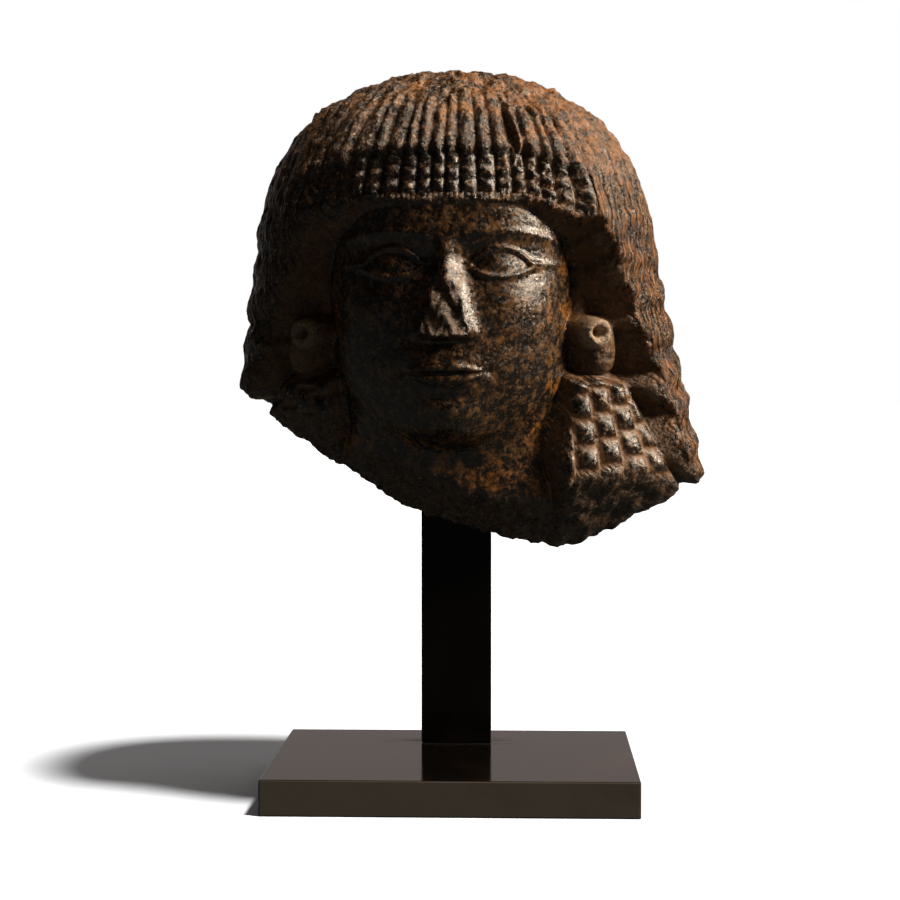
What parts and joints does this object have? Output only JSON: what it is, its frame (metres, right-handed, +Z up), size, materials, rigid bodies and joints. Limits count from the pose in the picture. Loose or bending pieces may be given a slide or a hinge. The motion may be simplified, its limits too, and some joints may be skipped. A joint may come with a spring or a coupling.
{
  "type": "granite head sculpture",
  "caption": "Granite head in a curled wig, broken from a statue, held up by a flat steel post on a rectangular base plate.",
  "frame": {"origin": "middle of the base plate's underside", "axes": "+Z up, -Y the way the face looks, +X to the right of someone facing it"},
  "size_m": [0.1949, 0.154, 0.2996],
  "materials": {
    "granite": "satin",
    "post_metal": "gloss",
    "plate_metal": "gloss"
  },
  "bodies": {
    "root": {"granite_head": "granite", "post": "post_metal", "base_plate": "plate_metal"}
  },
  "joints": []
}
